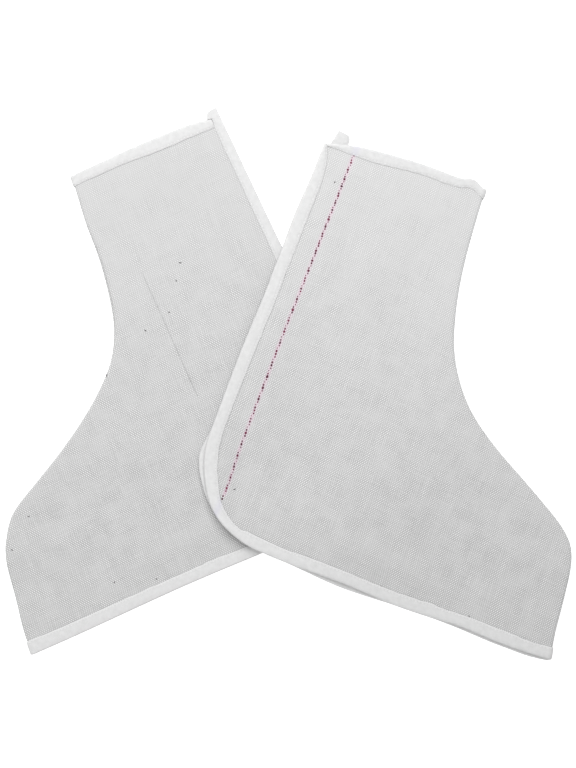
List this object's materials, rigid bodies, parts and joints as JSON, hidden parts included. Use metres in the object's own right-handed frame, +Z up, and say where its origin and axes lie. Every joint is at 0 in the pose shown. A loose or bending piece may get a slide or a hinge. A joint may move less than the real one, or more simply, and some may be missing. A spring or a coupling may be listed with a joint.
{
  "type": "pair of welding shoe covers",
  "caption": "Pair of white canvas welding shoe covers with folded tape binding, open at the back, lying flat with one partly on the other.",
  "frame": {"origin": "bottom centre of the bounding box, on the surface that both covers lie on", "axes": "+Z up from the surface, +X along the longest side from the left cover's toe to the right cover's toe, +Y from the hems to the top edges"},
  "size_m": [0.4816, 0.4694, 0.0159],
  "materials": {
    "heavy_canvas": "off-white heavy plain-weave canvas, matte, with a woven red and dark dotted selvage thread on the right cover",
    "binding_tape": "white fine-woven binding tape, matte, stitched near its inner edge"
  },
  "bodies": {
    "root": {"left_cover_under_side": "heavy_canvas", "left_cover_upper_side": "heavy_canvas", "left_cover_edge_binding": "binding_tape", "left_cover_top_binding": "binding_tape", "right_cover_under_side": "heavy_canvas", "right_cover_upper_side": "heavy_canvas", "right_cover_edge_binding": "binding_tape", "right_cover_top_binding": "binding_tape"}
  },
  "joints": []
}
